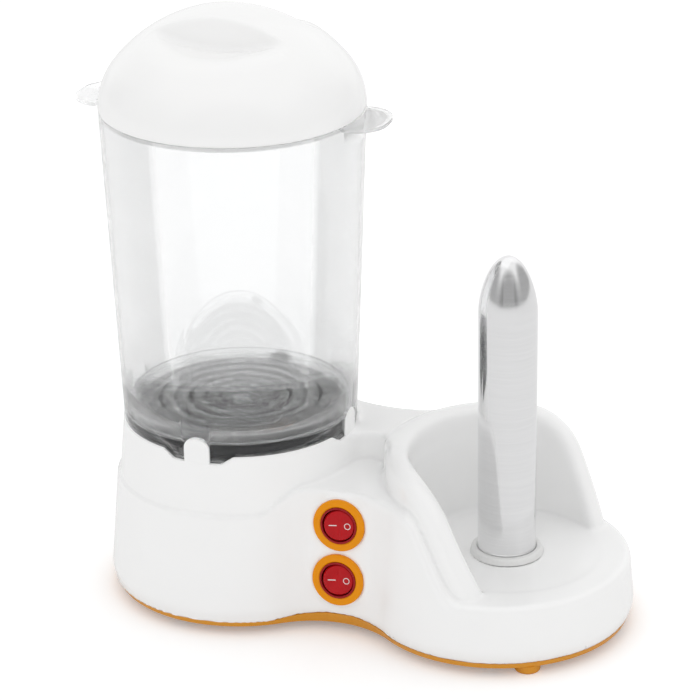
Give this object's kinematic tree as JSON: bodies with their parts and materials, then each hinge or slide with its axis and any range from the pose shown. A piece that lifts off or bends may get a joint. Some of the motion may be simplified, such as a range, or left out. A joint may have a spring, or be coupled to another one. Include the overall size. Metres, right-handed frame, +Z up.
{
  "type": "hot dog maker",
  "caption": "Electric hot dog maker: white two-lobed base with a clear steam vessel under a domed lid, a heated bread spike with a curved guard, and round rocker switches.",
  "frame": {"origin": "centre of the bounding box in plan, on the ground under the feet", "axes": "+Z up, +X from the steam vessel towards the bread spike, -Y the front with the switches"},
  "size_m": [0.3034, 0.145, 0.3245],
  "materials": {
    "white_shell": "glossy moulded",
    "white_collar": "satin moulded",
    "orange_base": "satin moulded",
    "orange_rubber": "matt",
    "orange_trim": "glossy moulded",
    "red_rocker": "glossy moulded",
    "switch_case": "satin moulded",
    "screw_steel": "zinc plated",
    "sheet_steel": "zinc plated sheet",
    "element_steel": "heat tinted",
    "dish_metal": "dark coated",
    "spike_metal": "polished",
    "seal_rubber": "silicone",
    "gland_rubber": "matt",
    "dark_plastic": "moulded phenolic",
    "fuse_body": "tinned",
    "ceramic_plug": "unglazed ceramic",
    "terminal_brass": "bare",
    "block_plastic": "moulded",
    "lead_sleeve": "braided glass sleeve",
    "clear_vessel": "clear styrene plastic, polished",
    "clear_tray": "clear styrene plastic, polished"
  },
  "bodies": {
    "base": {"upper_housing": "white_shell", "housing_turret": "white_shell", "base_plate": "orange_base", "feet": "orange_rubber", "base_screws": "screw_steel", "water_dish": "dish_metal", "dish_seal": "seal_rubber", "dish_clamp": "sheet_steel", "clamp_screws": "screw_steel", "ring_element": "element_steel", "thermostat": "dark_plastic", "thermal_fuse": "fuse_body", "fuse_strap": "sheet_steel", "bread_spike": "spike_metal", "spike_collar": "white_collar", "spike_bracket": "sheet_steel", "bracket_screws": "screw_steel", "spike_heater": "element_steel", "heater_plug": "ceramic_plug", "upper_trim_ring": "orange_trim", "lower_trim_ring": "orange_trim", "upper_switch_case": "switch_case", "lower_switch_case": "switch_case", "upper_switch_terminals": "terminal_brass", "lower_switch_terminals": "terminal_brass", "terminal_block": "block_plastic", "terminal_screws": "terminal_brass", "cord_gland": "gland_rubber", "internal_leads": "lead_sleeve"},
    "vessel": {"steam_vessel": "clear_vessel"},
    "tray": {"steam_tray": "clear_tray"},
    "lid": {"lid": "white_shell"},
    "upper_rocker": {"upper_rocker": "red_rocker"},
    "lower_rocker": {"lower_rocker": "red_rocker"}
  },
  "joints": [
    {"name": "vessel_lift", "type": "slide", "parent": "base", "child": "vessel", "axis": [0, 0, 1], "range_m": [0, 0.12]},
    {"name": "lid_lift", "type": "slide", "parent": "vessel", "child": "lid", "axis": [0, 0, 1], "range_m": [0, 0.12]},
    {"name": "tray_lift", "type": "slide", "parent": "vessel", "child": "tray", "axis": [0, 0, 1], "range_m": [0, 0.14]},
    {"name": "upper_rocker_press", "type": "hinge", "parent": "base", "child": "upper_rocker", "pos_m": [0.00675, -0.04351, 0.06237], "axis": [0, -0.0896, -0.996], "range_deg": [0, 20]},
    {"name": "lower_rocker_press", "type": "hinge", "parent": "base", "child": "lower_rocker", "pos_m": [0.00675, -0.04625, 0.03187], "axis": [0, -0.0896, -0.996], "range_deg": [0, 20]}
  ]
}
